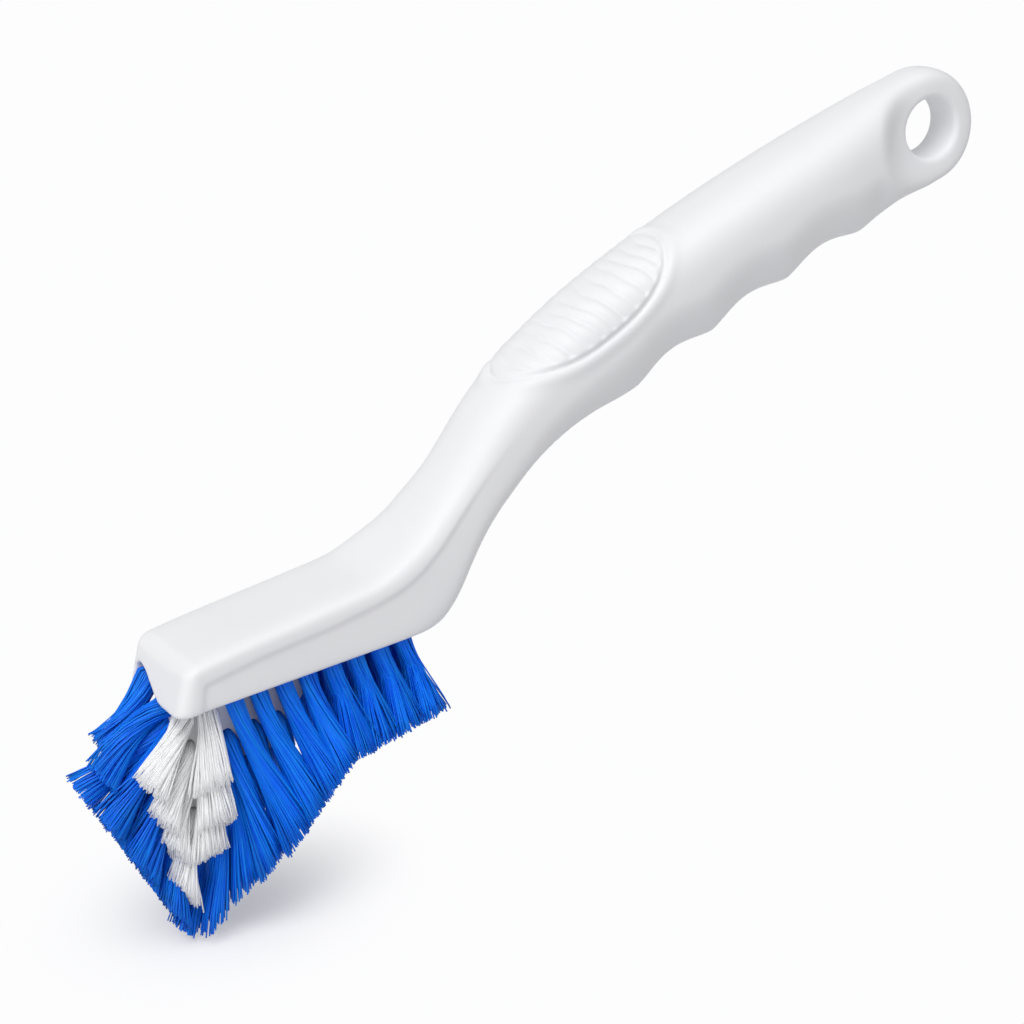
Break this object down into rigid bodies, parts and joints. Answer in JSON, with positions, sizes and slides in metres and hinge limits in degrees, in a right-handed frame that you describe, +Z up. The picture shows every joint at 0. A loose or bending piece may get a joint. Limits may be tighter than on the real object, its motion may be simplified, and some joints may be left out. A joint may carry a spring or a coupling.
{
  "type": "grout brush",
  "caption": "Hand-held grout brush: one-piece moulded handle and head with a hang hole, and a keeled bristle block carrying filament tufts trimmed to a V.",
  "frame": {"origin": "centre of the hang hole, midway through the eyelet", "axes": "+X from the bristle head towards the handle's end, +Y across the brush along the hang hole's axis (to the user's right when the bristles point down and the head points away), +Z up, with the head's rim level and the bristles pointing down"},
  "size_m": [0.2441, 0.0322, 0.1459],
  "materials": {
    "white_polypropylene": "smooth injection-moulded polypropylene, satin gloss",
    "blue_filament": "extruded filament, slightly translucent, cut ends",
    "white_filament": "extruded filament, slightly translucent, cut ends",
    "staple_wire": "drawn flat wire, bare"
  },
  "bodies": {
    "root": {"handle": "white_polypropylene", "bristle_block": "white_polypropylene", "staples": "staple_wire", "left_edge_tuft_1": "blue_filament", "left_edge_tuft_2": "blue_filament", "left_edge_tuft_3": "blue_filament", "left_edge_tuft_4": "blue_filament", "left_keel_tuft_1_1": "blue_filament", "left_keel_tuft_1_2": "blue_filament", "left_keel_tuft_1_3": "blue_filament", "left_keel_tuft_2_1": "blue_filament", "left_keel_tuft_2_2": "blue_filament", "left_keel_tuft_3_1": "blue_filament", "left_heel_tuft_1": "blue_filament", "left_heel_tuft_2": "blue_filament", "left_heel_tuft_3": "blue_filament", "left_heel_tuft_4": "blue_filament", "right_edge_tuft_1": "blue_filament", "right_edge_tuft_2": "blue_filament", "right_edge_tuft_3": "blue_filament", "right_edge_tuft_4": "blue_filament", "right_keel_tuft_1_1": "blue_filament", "right_keel_tuft_1_2": "blue_filament", "right_keel_tuft_1_3": "blue_filament", "right_keel_tuft_2_1": "blue_filament", "right_keel_tuft_2_2": "blue_filament", "right_keel_tuft_3_1": "blue_filament", "right_heel_tuft_1": "blue_filament", "right_heel_tuft_2": "blue_filament", "right_heel_tuft_3": "blue_filament", "right_heel_tuft_4": "blue_filament", "white_front_tuft_1": "white_filament", "white_front_tuft_2": "white_filament", "white_front_tuft_3": "white_filament", "white_front_tuft_4": "white_filament", "white_side_tuft_1": "white_filament", "white_side_tuft_2": "white_filament", "white_side_tuft_3": "white_filament", "far_front_tuft_1": "blue_filament", "far_front_tuft_2": "blue_filament", "far_front_tuft_3": "blue_filament", "far_side_tuft_1": "blue_filament", "far_side_tuft_2": "blue_filament", "far_side_tuft_3": "blue_filament", "front_tuft_1": "blue_filament", "front_tuft_2": "blue_filament", "front_tuft_3": "blue_filament", "front_tuft_4": "blue_filament", "front_tuft_5": "blue_filament", "front_tuft_6": "blue_filament", "front_tuft_7": "blue_filament", "arch_tuft_1": "blue_filament", "arch_tuft_2": "blue_filament", "tip_tuft": "blue_filament", "left_inner_heel_tuft_1": "blue_filament", "left_inner_heel_tuft_2": "blue_filament", "left_inner_heel_tuft_3": "blue_filament", "right_inner_heel_tuft_1": "blue_filament", "right_inner_heel_tuft_2": "blue_filament", "right_inner_heel_tuft_3": "blue_filament"}
  },
  "joints": []
}
